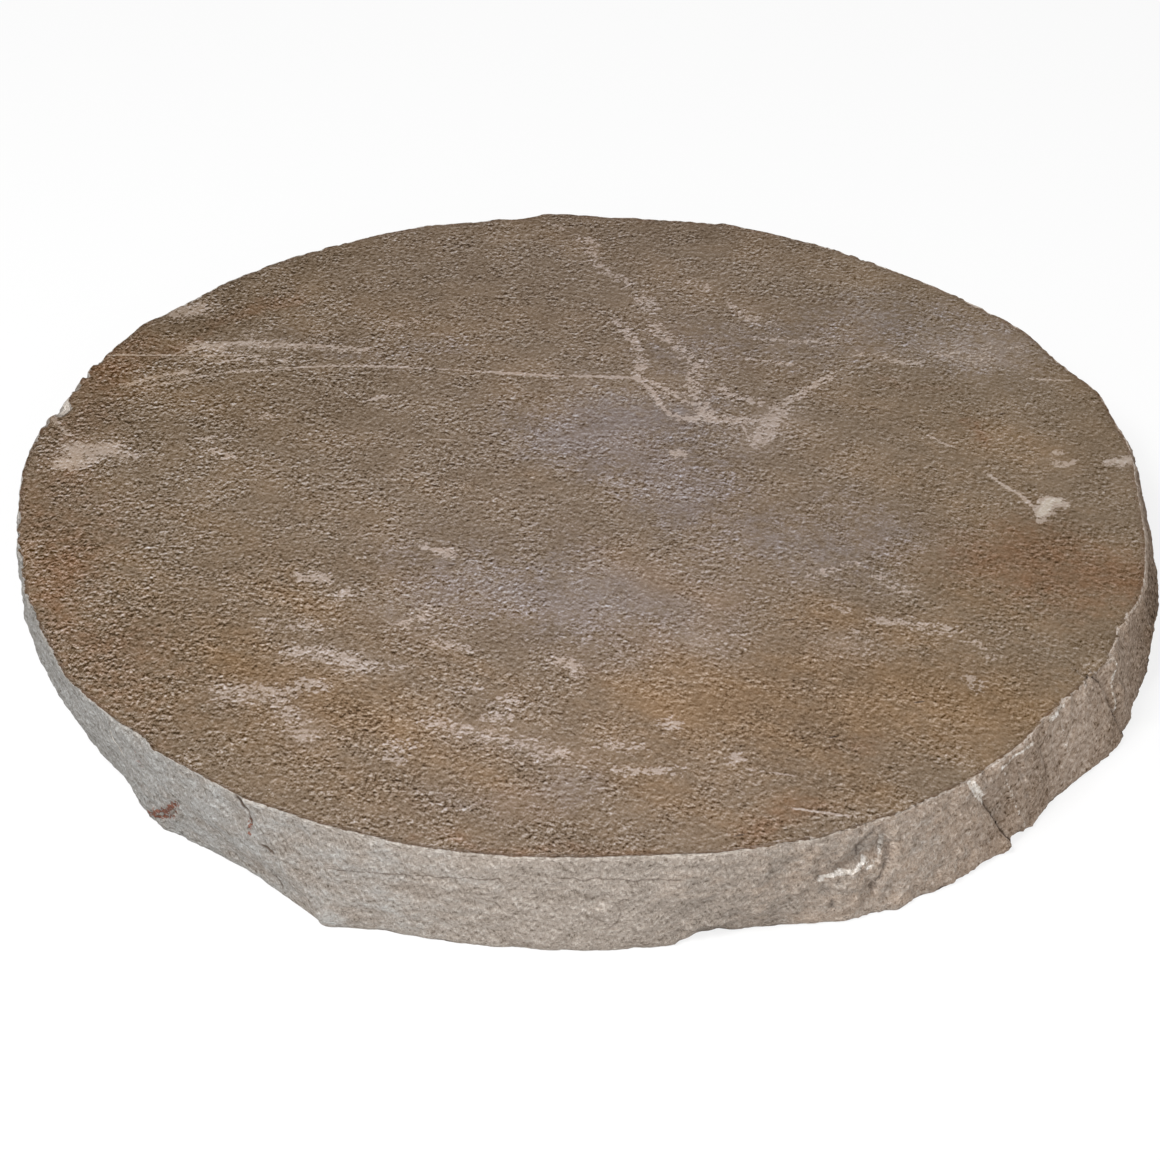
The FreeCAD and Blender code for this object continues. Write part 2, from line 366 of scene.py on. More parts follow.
flakes = (
    (4.0, 0.95, ((-148, 97), (-136, 97))), (3.0, 0.72, ((-135, 99), (-118, 98), (-101, 97), (-84, 96))),
    (3.0, 0.6, ((-120, 87), (-110, 86))), (3.5, 0.5, ((-127, 105), (-122, 104))),
    (2.5, 0.8, ((-138, 33), (-134, 33))), (3.0, 0.65, ((-134, 25), (-127, 21))),
    (3.0, 0.6, ((-128, 36), (-125, 35))), (3.5, 0.55, ((-120, 49), (-113, 49))),
    (6.5, 0.92, ((-184, 25), (-170, 27))), (6.0, 0.95, ((-186, 17), (-176, 20))),
    (2.5, 0.75, ((-169, 25), (-159, 23))), (6.0, 0.95, ((-155, 124), (-148, 126))),
    (4.0, 0.5, ((-73, 112), (-63, 116))), (3.6, 0.64, ((-1, 181), (5, 176), (6, 168))),
    (3.2, 0.64, ((7, 162), (11, 153), (16, 147), (18, 143))), (4.4, 0.64, ((22, 134), (27, 125))),
    (4.4, 0.62, ((29, 114), (36, 101), (41, 91), (46, 84))),
    (4.4, 0.62, ((43, 81), (41, 69), (42, 61), (45, 53), (47, 47))),
    (3.4, 0.66, ((14, 117), (18, 108), (22, 99), (23, 89), (22, 78))),
    (3.6, 0.64, ((24, 73), (30, 68), (36, 61), (42, 56), (45, 50))),
    (3.2, 0.85, ((37, 46), (49, 47), (58, 46), (64, 46))), (5.5, 0.8, ((65, 33), (70, 42), (74, 51))),
    (3.0, 0.75, ((74, 56), (79, 61), (86, 68), (94, 78))),
    (3.0, 0.68, ((52, 67), (56, 61), (61, 60), (67, 58))), (3.0, 0.6, ((40, 145), (48, 142))),
    (3.2, 0.58, ((57, 129), (64, 120), (74, 115))), (3.4, 0.55, ((68, 101), (79, 102), (98, 101))),
    (3.0, 0.95, ((34, 23), (36, 22))), (3.6, 0.85, ((-97, -53), (-87, -54))),
    (3.0, 0.8, ((-82, -65), (-79, -61))), (4.0, 0.6, ((-108, -78), (-103, -81))),
    (4.0, 0.6, ((-96, -80), (-88, -82))), (4.6, 0.8, ((-94, -95), (-85, -95), (-78, -98), (-69, -103))),
    (4.0, 0.75, ((-94, -116), (-90, -112), (-84, -114))),
    (6.0, 0.72, ((-116, -117), (-107, -117), (-98, -119))),
    (5.0, 0.6, ((-97, -123), (-93, -132), (-88, -140))), (4.0, 0.62, ((-59, -145), (-52, -144))),
    (3.5, 0.6, ((-61, -151), (-56, -151))),
    (4.0, 0.6, ((-48, -132), (-41, -133), (-34, -137), (-25, -140))),
    (3.6, 0.72, ((-28, -130), (-23, -129))), (5.0, 0.62, ((-21, -143), (-14, -145), (-7, -149))),
    (4.0, 0.7, ((-9, -99), (-3, -102), (0, -106))), (3.6, 0.62, ((-48, -90), (-38, -95))),
    (2.4, 0.75, ((-62, -103), (-58, -103))), (3.4, 0.8, ((-54, -36), (-45, -39))),
    (4.4, 0.55, ((-58, -80), (-50, -72))), (2.6, 0.7, ((-39, -115), (-34, -115))),
    (4.0, 0.6, ((-27, -121), (-21, -122))),
    (3.2, 0.75, ((99, -77), (107, -78), (118, -82), (123, -83))), (2.6, 0.8, ((91, -84), (92, -85))),
    (2.4, 0.75, ((86, -70), (91, -72))), (3.6, 0.62, ((126, -108), (129, -114))),
    (3.0, 0.6, ((130, -90), (135, -98))), (4.4, 0.72, ((27, -134), (30, -134))),
    (4.2, 0.62, ((7, -144), (17, -146))), (3.0, 0.66, ((10, -157), (20, -157), (32, -157))),
    (3.4, 0.68, ((49, -151), (51, -151))), (3.6, 1.25, ((161, -15), (164, -8))),
    (2.2, 1.2, ((164, -7), (168, -7), (170, -10))), (1.8, 1.1, ((160, -16), (160, -20))),
    (2.6, 0.75, ((171, 19), (174, 17), (177, 19))), (2.2, 0.75, ((172, 25), (174, 25))),
    (3.6, 1.0, ((191, 17), (198, 19))), (3.4, 0.75, ((118, 86), (127, 85))),
    (3.4, 0.5, ((104, 91), (116, 90))), (5.5, 0.5, ((140, 92), (153, 88))),
    (4.0, 0.45, ((154, 98), (165, 94))), (4.0, 0.5, ((79, -50), (92, -44))),
    (4.0, 0.5, ((102, -53), (113, -61))),
)
hazes = (
    (9.0, 0.8, ((65, 34), (73, 47))), (7.0, 0.55, ((-115, -117), (-99, -117))),
    (6.0, 0.5, ((-96, -124), (-88, -141))), (6.0, 0.35, ((-19, -144), (-5, -151))),
    (7.0, 0.6, ((86, -93), (92, -93))), (9.0, 0.3, ((41, -84), (45, -89))),
    (5.0, 0.6, ((-148, 97), (-107, 97))), (9.0, 0.35, ((-185, 25), (-168, 27))),
    (16.0, 0.4, ((137, 97), (159, 94))), (6.0, 0.4, ((-94, -96), (-71, -101))),
    (7.0, 0.5, ((-155, 124), (-148, 126))), (6.0, 0.3, ((-42, -135), (-26, -140))),
)

# broad zones of the tread, written as the marks are: weathered tints, and stretches lighter in the front
# middle and darker towards the far side and the left
treadZones = {
    "mauve": (
        (27, 0.85, ((-7, 38), (36, 38))), (20, 0.75, ((28, 12), (39, -7))),
        (33, 0.65, ((-34, -56), (20, -67))), (30, 0.55, ((69, -32), (104, -32))),
        (14, 0.4, ((-69, -44), (-45, -44))), (16, 0.35, ((46, -89), (-7, -100))),
        (24, 0.65, ((116, 116), (159, 94))), (32, 0.45, ((45, 94), (123, 108))),
        (14, 0.5, ((-43, -172), (-6, -167))), (14, 0.35, ((-107, 101), (-50, 94))),
    ),
    "gold": (
        (36, 0.95, ((-120, -84), (-50, -152))), (38, 1.0, ((38, -132), (135, -122))),
        (18, 0.45, ((18, -40), (37, -67))), (20, 0.3, ((-165, -44), (-109, -89))),
        (14, 0.7, ((55, -181), (93, -162))), (8, 0.5, ((-54, 5), (-14, -1))),
        (22, 0.7, ((90, -78), (167, -78))), (30, 0.4, ((130, 10), (185, 35))),
    ),
    "red": (
        (10, 0.6, ((-185, -44), (-158, -95))),
        (24, 0.45, ((-178, 95), (-190, 40), (-180, -60), (-140, -130))),
        (26, 0.7, ((148, -42), (190, -56))), (3.5, 0.5, ((-61, -195), (36, -197))),
        (7, 0.6, ((49, -186), (71, -176))), (6, 0.5, ((83, -137), (92, -142))),
        (5, 0.6, ((-186, 38), (-185, 5))), (7, 0.5, ((-163, 86), (-118, 138))),
        (4, 0.5, ((119, 69), (134, 65))), (5, 0.5, ((138, 38), (152, 28))),
    ),
    "light": (
        (30, 0.35, ((-42, -122), (37, -162))), (26, 0.65, ((-7, -67), (40, -89))),
    ),
    "dusk": (
        (16, 0.7, ((-112, 162), (-8, 199), (89, 182))), (34, 1.2, ((-191, 45), (-148, 131))),
        (18, 0.5, ((-190, 20), (-186, -40), (-168, -92))), (12, 0.6, ((176, 108), (200, 31))),
        (45, 0.32, ((60, -130), (150, -70))), (30, 0.3, ((-150, -60), (-100, -130))),
        (40, 0.45, ((-130, 60), (-60, 130))),
    ),
}


# strength of the nearest marks at each point of the tread, with edges that wander
def veil(marks, hardness, wander):
    x, y = points[:, 0] / mm, points[:, 1] / mm
    amount = np.zeros(len(points))
    swing = np.sin(x / 13 + np.sin(y / 19) * 2) + np.sin(y / 11 - x / 23) + np.sin(x / 5.3 + y / 7.1) * 0.5
    sway = np.sin(y / 15 + np.sin(x / 17) * 2) + np.sin(x / 9 + y / 21) + np.sin(y / 4.7 - x / 6.3) * 0.5
    x, y = x + wander * swing, y + wander * sway
    for half, strength, path in marks:
        distance = pathOffsets(x, y, path)[2]
        amount = np.maximum(amount, strength * np.exp(-((distance / half) ** hardness)))
    return amount * (fromTop < 2)


# each point keeps its offset from the nearest line, so that the finish can draw it finer than the mesh
def nearestLine(x, y, lines, where):
    nearest = np.full(len(points), 1e9)
    across, half, strength = (np.zeros(len(points)) for _ in range(3))
    reachBeyond, endFade = 5.0, 1.5
    for halfWidth, amount, path in lines:
        side, past, distance = pathOffsets(x, y, path)
        nearer = (distance - halfWidth < nearest) & where
        nearest = np.where(nearer, distance - halfWidth, nearest)
        fade = (1 - easeBetween(past, 0, halfWidth + endFade)) * (distance < halfWidth + reachBeyond)
        across = np.where(nearer, side, across)
        half = np.where(nearer, halfWidth, half)
        strength = np.where(nearer, amount * fade, strength)
    return np.stack([across, half, strength], 1)


# scratches that come near each other are dealt out to different sets
def scratchSets(count):
    lines = list(scratches) + [(0.9, -1.0, (spot, (spot[0] + 0.8, spot[1] + 0.2))) for spot in pits]
    x, y = points[:, 0] / mm, points[:, 1] / mm
    sets = {}
    for number in range(count):
        sets[f"scratch{number}"] = nearestLine(x, y, lines[number::count], fromTop < 3)
    return sets


def rimLines(kind):
    front = 270.0
    run = ((bearing - front + 180) % 360 - 180) * perDegree
    marks = [mark for mark in rimMarks if kind in mark]
    lines = []
    for mark in marks:
        path = [((b - front) * perDegree, z) for b, z in mark["path"]]
        lines.append((mark["half"], mark[kind], path))
    return nearestLine(run, points[:, 2] / mm, lines, (fromTop > -4) & (fromTop < farOff))


scratchSetCount = 3
zones = {name: veil(marks, hardness=1.5, wander=4.0) for name, marks in treadZones.items()}
tints = np.stack([zones[name] for name in ("mauve", "gold", "red")], 1)
tones = zones["light"] - zones["dusk"]
treadToneShare = 0.17  # how much a zone of full strength lightens or darkens the tread
# lighter and darker zones on the tread, painted light and shade on the rim
shades = np.where(fromTop < 2, tones * treadToneShare, rimSigns["tone"])
chalky, rubbed = veil(flakes, hardness=3.0, wander=0.6), veil(hazes, hardness=2.0, wander=1.0)
chalkAndShades = np.stack([chalky, rubbed, shades], 1)
print("tread marks", len(scratches) + len(pits), "sharp", len(flakes) + len(hazes), "broad")


def layOn(mesh, name, kind, values):
    field = "vector" if kind == "FLOAT_VECTOR" else "value"
    flat = np.ascontiguousarray(values, np.float32).ravel()
    mesh.attributes.new(name, kind, "POINT").data.foreach_set(field, flat)


rawMesh = bpy.data.meshes.new("steppingStoneRaw")
rawMesh.from_pydata(points.tolist(), [], faces)
layOn(rawMesh, "outward", "FLOAT_VECTOR", outward)
layOn(rawMesh, "onRim", "FLOAT", onRim)
layOn(rawMesh, "edgeGap", "FLOAT", np.minimum(np.abs(fromTop), np.abs(fromFoot)))
layOn(rawMesh, "topGap", "FLOAT", np.clip(fromTop, -250, 250))
for name in ("recess", "rough", "fluted", "frayed", "rust"):
    layOn(rawMesh, name, "FLOAT", rimSigns[name])
layOn(rawMesh, "tints", "FLOAT_VECTOR", tints)
layOn(rawMesh, "chalkAndShades", "FLOAT_VECTOR", chalkAndShades)
lineSets = {**scratchSets(scratchSetCount), "rimCrackShade": rimLines("dark"), "rimPale": rimLines("pale")}
for name, values in lineSets.items():
    layOn(rawMesh, name, "FLOAT_VECTOR", values)

# finish of the stone
stoneLooks = {
    "brown": (0.202, 0.150, 0.108, 1),
    "mauve": (0.224, 0.187, 0.175, 1),
    "gold": (0.220, 0.146, 0.089, 1),
    "red": (0.183, 0.105, 0.061, 1),
    "rind": (0.130, 0.075, 0.047, 1),
    "rimGrey": (0.342, 0.294, 0.252, 1),
    "rimCool": (0.300, 0.288, 0.270, 1),
    "rimWarm": (0.338, 0.260, 0.201, 1),
    "chalk": (0.400, 0.326, 0.282, 1),
    "fresh": (0.620, 0.560, 0.500, 1),
    # painted shade for the cracks of the rim and the pits of the tread
    "crackAndPitShade": (0.085, 0.057, 0.040, 1),
    "rust": (0.150, 0.052, 0.030, 1),
    "treadGrainAndEmboss": 1.45,  # how strongly the grains and their painted emboss shading differ in tone
    "rimGrainAndEmboss": 0.5,
    "treadBump": 0.55,  # height of the grain in millimetres
    "rimBump": 0.9,
    "streakTurn": 35,
    "roughness": 0.92,
    "shine": 0.12,
}


def stoneFinish(looks):
    material = bpy.data.materials.new("sandstoneFinish")
    material.use_nodes = True
    tree = material.node_tree
    tree.nodes.clear()
    bench = Wire(tree)

    def blend(share, first, second, mode="MIX"):
        settings = {"data_type": "RGBA", "blend_type": mode}
        return bench.add("ShaderNodeMix", settings, {0: share, 6: first, 7: second}, out=2)

    def noise(place, scale, detail=2.0, roughness=0.5):
        sockets = {"Vector": place, "Scale": scale, "Detail": detail, "Roughness": roughness}
        return bench.add("ShaderNodeTexNoise", {}, sockets)

    def signs(name):
        whole = bench.add("ShaderNodeAttribute", {"attribute_name": name}, out=1)
        return [bench.add("ShaderNodeSeparateXYZ", {}, {0: whole}, out=k) for k in range(3)]

    def single(name):
        return bench.add("ShaderNodeAttribute", {"attribute_name": name}, out=2)

    def scaled(vector, by):
        return bench.add("ShaderNodeVectorMath", {"operation": "MULTIPLY"}, {0: vector, 1: by})

    def along(way):
        return bench.add("ShaderNodeVectorMath", {"operation": "DOT_PRODUCT"}, {0: place, 1: way}, out=1)

    place = scaled(bench.add("ShaderNodeTexCoord", out=3), (1000, 1000, 1000))  # millimetres
    topGap = single("topGap")
    nibble = single("nibble")
    ragged = noise(place, 0.24, 4.0, 0.62)
    broken = single("onRim")
    rim = (broken + nibble * 1.2 + (ragged - 0.5) * (single("frayed") * 1.2 + 0.8)).rise(0.44, 0.56)
    tread = 1 - rim

    # close to a line, whose offset, half width and strength are kept in one attribute
    def closeTo(name, wobble=0.0):
        across, half, strength = signs(name)
        return (1 - abs(across + wobble) / (half + 0.001)).top(0.0) * strength

    # grain, the same a little aside for the painted emboss shading, and clouds drawn out along the bedding
    stretch = {0: broken * 0.1 + 1.1, 1: broken * 0.1 + 1, 2: 1 - broken * 0.15}
    drawn = scaled(place, bench.add("ShaderNodeCombineXYZ", {}, stretch))
    embossShift = bench.add("ShaderNodeCombineXYZ", {}, {0: 0.2, 1: tread * -0.9, 2: rim * 0.9})
    nearer = bench.add("ShaderNodeVectorMath", {"operation": "ADD"}, {0: drawn, 1: embossShift})
    grain = noise(place, 0.8, 3.0, 0.66)
    crisp = grain.rise(0.32, 0.68)
    ripple = noise(drawn, 0.5, 4.0, 0.72)
    slope = ripple - noise(nearer, 0.5, 4.0, 0.72)
    patch = noise(place, 0.07, 3.0, 0.6).rise(0.34, 0.62)
    cloud = noise(place, 0.022, 4.0, 0.55)
    drift = noise(place, 0.065, 2.0)
    turn = {"Vector": place, "Angle": math.radians(looks["streakTurn"])}
    turned = bench.add("ShaderNodeVectorRotate", {"rotation_type": "Z_AXIS"}, turn)
    streak = noise(scaled(turned, (0.008, 0.045, 0.02)), 1.0, 3.0, 0.55)
    blob = noise(place, 0.26, 4.0, 0.6)

    # weathered tread
    mauve, gold, red = signs("tints")
    flakes, haze, light = signs("chalkAndShades")
    stir = cloud - 0.5 + (streak - 0.5) * 1.3 + 1
    mauveShare = (mauve * stir * 0.85 + (blob - 0.5) * 1.6).rise(0.0, 1.1) * mauve.rise(0.0, 0.4)
    goldShare = (gold * stir * 0.9 + (streak - 0.5) * 0.6 + (blob - 0.5) * 0.9).rise(0.0, 1.2)
    redShare = (red * stir + (blob - 0.5) * 1.2).rise(0.0, 1.1) * red.rise(0.0, 0.4)
    treadColour = blend(mauveShare, looks["brown"], looks["mauve"])
    treadColour = blend(goldShare, treadColour, looks["gold"])
    treadColour = blend(redShare, treadColour, looks["red"])
    treadColour = blend(topGap.rise(-2.2, -0.4) * blob.rise(0.35, 0.6) * 0.6, treadColour, looks["rind"])

    # chalk: plates with ragged edges that close up as a mark gets stronger, rubbed hazes, sharp scratches
    torn = (blob - 0.5) * 1.2 + (ripple - 0.5) * 3.0
    chalk = (flakes + torn).rise(0.54, 0.66) * flakes.rise(0.05, 0.2) * (flakes * 0.25 + 0.65)
    chalk = chalk.top(haze * (blob * 0.5 + 0.15))
    pitShade = None
    for number in range(scratchSetCount):
        close = closeTo(f"scratch{number}")
        chalk = chalk.top((close + torn * 1.2).rise(0.22, 0.5) * close.rise(0.0, 0.2) * 0.85)
        hole = (close * -1).rise(0.2, 0.7)
        pitShade = hole if pitShade is None else pitShade.top(hole)

    # broken rim
    east, north = (bench.add("ShaderNodeSeparateXYZ", {}, {0: place}, out=k) for k in range(2))
    mottle = noise(scaled(place, (0.7, 0.7, 1.2)), 0.13, 5.0, 0.62)
    acrossScores, alongScores = (0.11, 0.16, -0.20), (0.024, 0.035, 0.042)
    scoring = {0: along(acrossScores), 1: along(alongScores)}
    scored = noise(bench.add("ShaderNodeCombineXYZ", {}, scoring), 1.0, 4.0, 0.62)
    cool = (east * -0.006).rise(0.1, 0.9)
    shaded = (east * -0.006 + (mottle - 0.5) * 1.2).rise(0.1, 0.9) * (1 - north.rise(-60, 60) * 0.7)
    rimColour = blend(shaded, looks["rimGrey"], looks["rimCool"])
    rimColour = blend((east * 0.006 + (mottle - 0.5) * 1.6).rise(0.1, 0.9), rimColour, looks["rimWarm"])
    rust = single("rust")
    wobble = (blob - 0.5) * 2.6
    bared = closeTo("rimPale", wobble * 0.45)
    # painted shade along the cracks of the rim
    rimColour = blend(closeTo("rimCrackShade", wobble).rise(0.0, 0.7) * 0.9, rimColour, looks["crackAndPitShade"])
    rustShare = (rust + (grain - 0.5) * 3.6).rise(0.5, 0.7) * rust.rise(0.0, 0.2) * 0.9
    rimColour = blend(rustShare, rimColour, looks["rust"])
    # pale along the upper edge of the rim: partly chipped stone, partly a painted highlight on the arris
    arrisChipsAndHighlight = (1 - topGap.rise(0.4, 1.8)) * rim * (grain * 0.5 + blob * 0.5).rise(0.42, 0.54)
    chipped = nibble.rise(0.15, 0.6)
    fresh = (bared + (grain - 0.5) * 0.8).rise(0.15, 0.45) * bared.rise(0.0, 0.15)
    fresh = fresh.top(arrisChipsAndHighlight * 0.4).top(chipped * crisp * 0.6)
    rimColour = blend(fresh, rimColour, looks["fresh"])
    whiter = blend(flakes.rise(0.9, 1.15) * 0.45, looks["chalk"], looks["fresh"])
    colour = blend(rim, blend(chalk, treadColour, whiter), rimColour)
    # painted shade in the pits of the tread
    colour = blend(pitShade, colour, looks["crackAndPitShade"])

    # tone: painted emboss shading, a painted highlight on the near side of each ripple and painted shade on
    # its far side, in patches, with finer grain on top
    calm = (mauve * 0.7 + (cloud - 0.5) * 1.2).rise(0.2, 0.9)
    lively = (patch * 0.6 + 0.48) * (1 - calm * 0.3) * (1.12 - east * 0.0016)
    grit = torn.rise(0.42, 0.8) * 0.7 - (torn * -1).rise(0.5, 0.85) * 0.2
    lit, dim = slope.rise(0.02, 0.2), (slope * -1).rise(0.02, 0.2)
    pale, dark = grain.rise(0.58, 0.72), 1 - grain.rise(0.28, 0.40)
    treadGrainAndEmboss = lit * 0.82 - dim * 0.42 + pale * 0.6 - dark * 0.3 + (crisp - 0.5) * 0.5
    treadTone = treadGrainAndEmboss * looks["treadGrainAndEmboss"] * lively + grit
    treadTone += (cloud - 0.5) * 0.3 + (drift - 0.5) * 0.4 + (blob - 0.5) * 0.35 - cool * 0.07 - 0.11
    # on the rim the upper side of each ripple gets the painted highlight and its lower side painted shade
    rimGrainAndEmboss = lit * 0.85 - dim * 0.95 + pale * 0.3 - dark * 0.2 + (crisp - 0.5) * 0.6
    rimTone = rimGrainAndEmboss * looks["rimGrainAndEmboss"] * (east.rise(60, 150) * 0.25 + 1)
    rimTone += (mottle - 0.5) * (0.95 - east.rise(30, 120) * 0.5)
    rimTone += (scored - 0.5) * single("fluted") * 2.2
    tone = treadTone * tread * (1 - chalk * 0.75) + rimTone * rim + light
    warmth = (drift - 0.5 + streak - 0.5 + cloud - 0.5).top(-0.12) * (1 - calm * 0.5) * tread
    ruddy = east.rise(40, 140) * rim
    level = (tone + 1).top(0.1)
    redder = bench.math("POWER", level, rim * 0.1 + 0.82 - ruddy * 0.06) + warmth * 0.09
    bluer = bench.math("POWER", level, 1.26 - calm * tread * 0.18 - rim * 0.17 + ruddy * 0.08)
    bluer -= warmth * 0.12 + (cool * 0.03 + east.rise(40, 160) * 0.04) * tread
    tinted = bench.add("ShaderNodeCombineColor", {}, {0: redder, 1: level, 2: bluer})
    colour = blend(1.0, colour, tinted, "MULTIPLY")

    treadHeight = ripple * (1 - broken) * looks["treadBump"]
    rimHeight = (mottle * 1.4 + crisp * 0.5) * (1 - east.rise(100, 150) * 0.45) * broken * looks["rimBump"]
    height = treadHeight + rimHeight
    bump = bench.add("ShaderNodeBump", {}, {"Strength": 1.0, "Distance": mm, "Height": height})
    surface = {"Base Color": colour, "Normal": bump}
    surface.update({"Roughness": looks["roughness"], "Specular IOR Level": looks["shine"]})
    shader = bench.add("ShaderNodeBsdfPrincipled", {}, surface)
    bench.add("ShaderNodeOutputMaterial", {}, {"Surface": shader})
    return material


sandstone = stoneFinish(stoneLooks)
print("finish", len(sandstone.node_tree.nodes), "nodes")

# relief of the broken stone about its smooth mesh
stoneRelief = {
    "Flake Size": 13.0,
    "Flake Depth": 1.5,
    "Break Size": 6.0,
    "Break Depth": 1.8,
    "Flute Size": 3.2,
    "Flute Depth": 1.0,
    "Bed Size": 3.6,
    "Bed Depth": 0.5,
    "Tread Wave": 46.0,
    "Tread Depth": 0.6,
    "Nibble Size": 5.0,
    "Nibble Depth": 2.2,
    "Edge Wear": 0.25,
}
reliefSeed = 7


def reliefTree(sizes):
    tree = bpy.data.node_groups.new("stoneRelief", "GeometryNodeTree")
    tree.interface.new_socket("Geometry", in_out="INPUT", socket_type="NodeSocketGeometry")
    kinds = {name: "NodeSocketFloat" for name in [*sizes, "Seed"]}
    kinds["Finish"] = "NodeSocketMaterial"
    names = {}
    for name, kind in kinds.items():
        names[name] = tree.interface.new_socket(name, in_out="INPUT", socket_type=kind).identifier
    tree.interface.new_socket("Geometry", in_out="OUTPUT", socket_type="NodeSocketGeometry")
    bench = Wire(tree)
    inlet = tree.nodes.new("NodeGroupInput")
    given = {name: Wire(tree, inlet.outputs[name]) for name in ["Geometry", "Finish", "Seed", *sizes]}

    def named(name, kind="FLOAT"):
        return bench.add("GeometryNodeInputNamedAttribute", {"data_type": kind}, {"Name": name})

    def noise(size, shift, detail, roughness=0.5, stretch=(1, 1, 1)):
        drawn = bench.add("ShaderNodeVectorMath", {"operation": "MULTIPLY"}, {0: place, 1: stretch})
        sockets = {"Vector": drawn, "W": given["Seed"] + shift, "Scale": 1000 / size}
        sockets.update({"Detail": detail, "Roughness": roughness})
        return bench.add("ShaderNodeTexNoise", {"noise_dimensions": "4D"}, sockets).rise(0.2, 0.8)

    place = bench.add("GeometryNodeInputPosition")
    rim = named("onRim")
    edge = 1 - named("edgeGap").rise(0.0, 3.5)

    # on the rim, scooped flakes with ridges between them, a finer break, flutes and beds, in and out
    cells = {"Vector": place, "W": given["Seed"], "Scale": 1000 / given["Flake Size"], "Smoothness": 0.25}
    flakes = bench.add("ShaderNodeTexVoronoi", {"voronoi_dimensions": "4D", "feature": "SMOOTH_F1"}, cells)
    rimLoss = (0.5 - flakes.rise(0.0, 0.75)) * given["Flake Depth"]
    breaks = noise(given["Break Size"], 3.1, 5.0, 0.62) - 0.5
    flutes = noise(given["Flute Size"], 21.3, 3.0, 0.5, (1, 1, 0.12)) - 0.5
    beds = noise(given["Bed Size"], 27.1, 2.0, 0.5, (0.05, 0.05, 1)) - 0.5
    rimLoss += breaks * given["Break Depth"] * (1 + named("rough") * 1.6)
    rimLoss += flutes * given["Flute Depth"] * named("fluted")
    rimLoss += beds * given["Bed Depth"]
    rimLoss *= 1 - (1 - abs(named("topGap")).rise(0.0, 4.0)) * (1 - named("frayed")) * 0.6

    # the flat faces only lose height, and bites go out of the edges
    wave = noise(given["Tread Wave"], 9.7, 2.0) + noise(given["Break Size"], 5.3, 4.0) * 0.3
    flatLoss = wave * given["Tread Depth"] / 1.3
    sparse = noise(given["Nibble Size"] * 6, 17.3, 1.0).rise(0.5, 0.9) * 0.14
    bites = noise(given["Nibble Size"], 13.9, 3.0).rise(0.35, 0.75) * (named("frayed") + sparse)
    nibble = bites * (1 - abs(named("topGap")).rise(0.0, 3.5))
    loss = rimLoss * rim + flatLoss * (1 - rim) + nibble * given["Nibble Depth"]
    loss += edge * given["Edge Wear"]
    loss += named("recess")
    push = {0: named("outward", "FLOAT_VECTOR"), "Scale": loss * -mm}
    shift = bench.add("ShaderNodeVectorMath", {"operation": "SCALE"}, push)
    moved = bench.add("GeometryNodeSetPosition", {}, {"Geometry": given["Geometry"], "Offset": shift})
    told = {"Geometry": moved, "Name": "nibble", "Value": nibble}
    kept = bench.add("GeometryNodeStoreNamedAttribute", {"data_type": "FLOAT", "domain": "POINT"}, told)
    whole = bench.add("GeometryNodeRealizeInstances", {}, {"Geometry": kept})
    dressed = bench.add("GeometryNodeSetMaterial", {}, {"Geometry": whole, "Material": given["Finish"]})
    outlet = tree.nodes.new("NodeGroupOutput")
    tree.links.new(dressed.socket, outlet.inputs["Geometry"])
    return tree, names


def dressStone(mesh, sizes, seed, finish):
    raw = bpy.data.objects.new("steppingStoneRaw", mesh)
    bpy.context.scene.collection.objects.link(raw)
    tree, names = reliefTree(sizes)
    relief = raw.modifiers.new("relief", "NODES")
    relief.node_group = tree
    for name, value in {**sizes, "Seed": float(seed), "Finish": finish}.items():
        relief[names[name]] = value
    depsgraph = bpy.context.evaluated_depsgraph_get()
    done = raw.evaluated_get(depsgraph)
    mesh = bpy.data.meshes.new_from_object(done, preserve_all_data_layers=True, depsgraph=depsgraph)
    bpy.data.objects.remove(raw)
    spots = np.empty(len(mesh.vertices) * 3, np.float32)
    mesh.vertices.foreach_get("co", spots)
    low, high = (np.array(corner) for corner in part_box(cadStone.name))
    margin = 0.02 * mm  # keeps the relief inside the box of the solid
    inside = np.clip(spots.reshape(-1, 3), low + margin, high - margin)
    mesh.vertices.foreach_set("co", inside.astype(np.float32).ravel())
    mesh.name = "stoneBody"
    mesh.polygons.foreach_set("use_smooth", [True] * len(mesh.polygons))
    stone = bpy.data.objects.new("stoneBody", mesh)
    bpy.context.scene.collection.objects.link(stone)
    return stone


stone = dressStone(rawMesh, stoneRelief, reliefSeed, sandstone)
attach(stone, "root")
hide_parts("stepping_stone")
print("stone dressed", sum(len(p.vertices) - 2 for p in stone.data.polygons), "triangles")

# floor, light and camera
studio = {
    "floor": 3.0,
    "floorTone": 0.9,
    "whiteShare": 0.8,  # how far the floor is lifted to white for the camera
    "sky": 0.46,
    "keyPlace": (-0.5, -0.8, 1.25), "keySize": 0.5, "keyPower": 21.0,
    "fillPlace": (0.4, -1.2, 0.8), "fillSize": 0.8, "fillPower": 4.0,
    "cameraPlace": (-0.0002, -0.9105, 0.6552), "cameraDown": 35.806, "lens": 96.2, "sensor": 36.0,
}


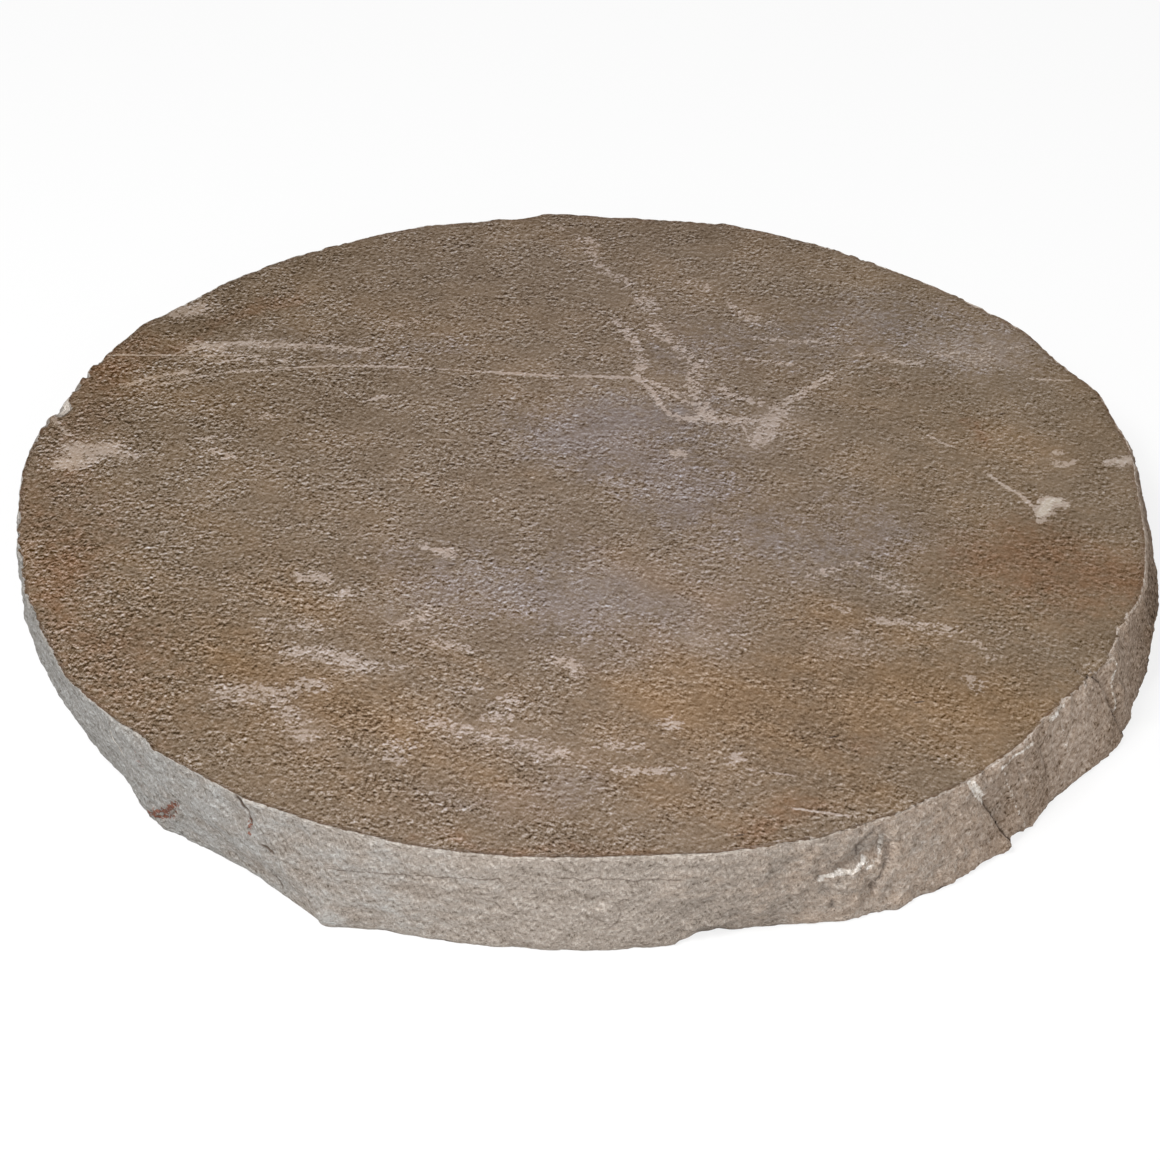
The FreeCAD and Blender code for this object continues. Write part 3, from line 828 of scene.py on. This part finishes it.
def makeFloor(values):
    size = values["floor"]
    mesh = bpy.data.meshes.new("studioFloor")
    corners = [(-size, -size, 0), (size, -size, 0), (size, size, 0), (-size, size, 0)]
    mesh.from_pydata(corners, [], [(0, 1, 2, 3)])
    floor = bpy.data.objects.new("studioFloor", mesh)
    bpy.context.scene.collection.objects.link(floor)
    material = bpy.data.materials.new("paleFloor")
    material.use_nodes = True
    material.node_tree.nodes.clear()
    bench = Wire(material.node_tree)
    seen = bench.add("ShaderNodeLightPath", out="Is Camera Ray")
    seen = seen.top(bench.add("ShaderNodeLightPath", out="Is Glossy Ray"))
    seen = seen.top(bench.add("ShaderNodeLightPath", out="Is Transmission Ray"))
    tone = values["floorTone"]
    matt = bench.add("ShaderNodeBsdfDiffuse", {}, {"Color": (tone, tone, tone, 1)})
    white = bench.add("ShaderNodeEmission", {}, {"Color": (1, 1, 1, 1), "Strength": 1.0})
    both = bench.add("ShaderNodeMixShader", {}, {0: seen * values["whiteShare"], 1: matt, 2: white})
    bench.add("ShaderNodeOutputMaterial", {}, {"Surface": both})
    mesh.materials.append(material)


def makeSky(values):
    world = bpy.data.worlds.new("studioSky")
    world.use_nodes = True
    world.node_tree.nodes.clear()
    bench = Wire(world.node_tree)
    seen = bench.add("ShaderNodeLightPath", out="Is Camera Ray")
    plain = bench.add("ShaderNodeBackground", {}, {"Color": (1, 1, 1, 1), "Strength": values["sky"]})
    white = bench.add("ShaderNodeBackground", {}, {"Color": (1, 1, 1, 1), "Strength": 1.0})
    both = bench.add("ShaderNodeMixShader", {}, {0: seen, 1: plain, 2: white})
    bench.add("ShaderNodeOutputWorld", {}, {"Surface": both})
    bpy.context.scene.world = world


def makeLamp(name, place, size, power):
    data = bpy.data.lights.new(name, "AREA")
    data.size = size
    data.energy = power
    lamp = bpy.data.objects.new(name, data)
    lamp.location = place
    lamp.rotation_euler = (-Vector(place)).to_track_quat("-Z", "Y").to_euler()
    lamp.visible_camera = False
    bpy.context.scene.collection.objects.link(lamp)


def makeCamera(values):
    data = bpy.data.cameras.new("photoCamera")
    data.lens = values["lens"]
    data.sensor_width = values["sensor"]
    camera = bpy.data.objects.new("photoCamera", data)
    camera.location = values["cameraPlace"]
    camera.rotation_euler = (math.radians(90 - values["cameraDown"]), 0, 0)
    bpy.context.scene.collection.objects.link(camera)
    bpy.context.scene.camera = camera


makeFloor(studio)
makeSky(studio)
makeLamp("keyLamp", studio["keyPlace"], studio["keySize"], studio["keyPower"])
makeLamp("fillLamp", studio["fillPlace"], studio["fillSize"], studio["fillPower"])
makeCamera(studio)
bpy.context.scene.view_settings.view_transform = "Standard"
print("studio set")
